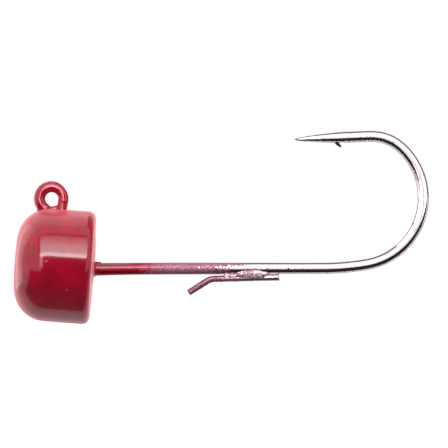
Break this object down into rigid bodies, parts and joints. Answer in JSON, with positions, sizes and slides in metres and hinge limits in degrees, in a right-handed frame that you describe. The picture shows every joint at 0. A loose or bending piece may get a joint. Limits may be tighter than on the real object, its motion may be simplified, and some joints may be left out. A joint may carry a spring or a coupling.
{
  "type": "jig head",
  "caption": "Flat-backed mushroom jig head: powder-coated lead cast on a bent barbed hook, with a closed line eye and a wire bait keeper under the shank.",
  "frame": {"origin": "on the shank's axis, where it leaves the flat pad on the head's back face", "axes": "+X along the shank from the head to the bend, +Z to the side of the hook's point, +Y along the axis of the line eye"},
  "size_m": [0.0415, 0.0114, 0.0193],
  "materials": {
    "cast_lead": "matte",
    "nickel_wire": "polished",
    "red_powder_coat": "gloss",
    "thin_powder_coat": "satin",
    "keeper_steel": "satin",
    "solder": "satin"
  },
  "bodies": {
    "root": {"lead_head": "cast_lead", "hook": "nickel_wire", "head_coat": "red_powder_coat", "eye_coat": "red_powder_coat", "shank_coat": "thin_powder_coat", "keeper_wire": "keeper_steel", "solder_joint": "solder"}
  },
  "joints": []
}
